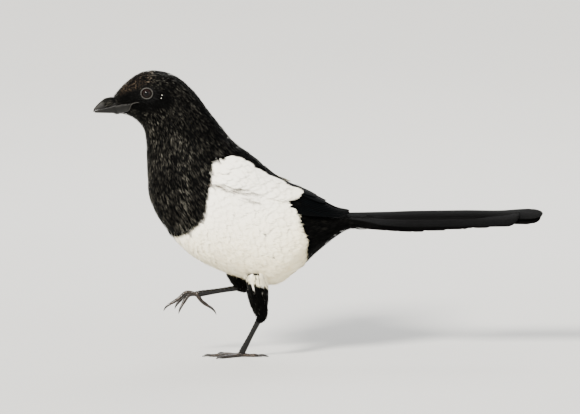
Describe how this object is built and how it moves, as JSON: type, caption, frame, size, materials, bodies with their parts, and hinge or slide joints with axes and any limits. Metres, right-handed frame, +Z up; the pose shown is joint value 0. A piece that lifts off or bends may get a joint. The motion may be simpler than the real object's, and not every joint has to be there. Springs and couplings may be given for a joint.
{
  "type": "eurasian magpie",
  "caption": "Life-size black and white bird with a long tail, walking on one foot with the other foot lifted, as a still display model.",
  "frame": {"origin": "the middle of the standing left foot's sole, on the floor and on the bird's middle plane", "axes": "+Z up from the floor, +X from the head towards the tail, +Y towards the bird's right side"},
  "size_m": [0.4186, 0.0794, 0.2687],
  "materials": {
    "black_feathers": "silky black plumage",
    "white_feathers": "soft white plumage",
    "flight_feathers": "glossy black wing and tail feathers with a blue-green sheen",
    "horn": "satin black horn of bill and claws",
    "leg_scales": "scaly black skin",
    "eye": "wet, glossy dark brown"
  },
  "bodies": {
    "root": {"head": "black_feathers", "neck": "black_feathers", "breast": "black_feathers", "torso": "white_feathers", "vent": "black_feathers", "tail": "flight_feathers", "bill_upper": "horn", "bill_lower": "horn", "eye_left": "eye", "wing_left": "flight_feathers", "scapulars_left": "white_feathers", "thigh_left": "black_feathers", "tarsus_left": "leg_scales", "foot_left": "leg_scales", "claw_left_1": "horn", "claw_left_2": "horn", "claw_left_3": "horn", "claw_left_4": "horn", "eye_right": "eye", "wing_right": "flight_feathers", "scapulars_right": "white_feathers", "thigh_right": "black_feathers", "tarsus_right": "leg_scales", "foot_right": "leg_scales", "claw_right_1": "horn", "claw_right_2": "horn", "claw_right_3": "horn", "claw_right_4": "horn"}
  },
  "joints": []
}
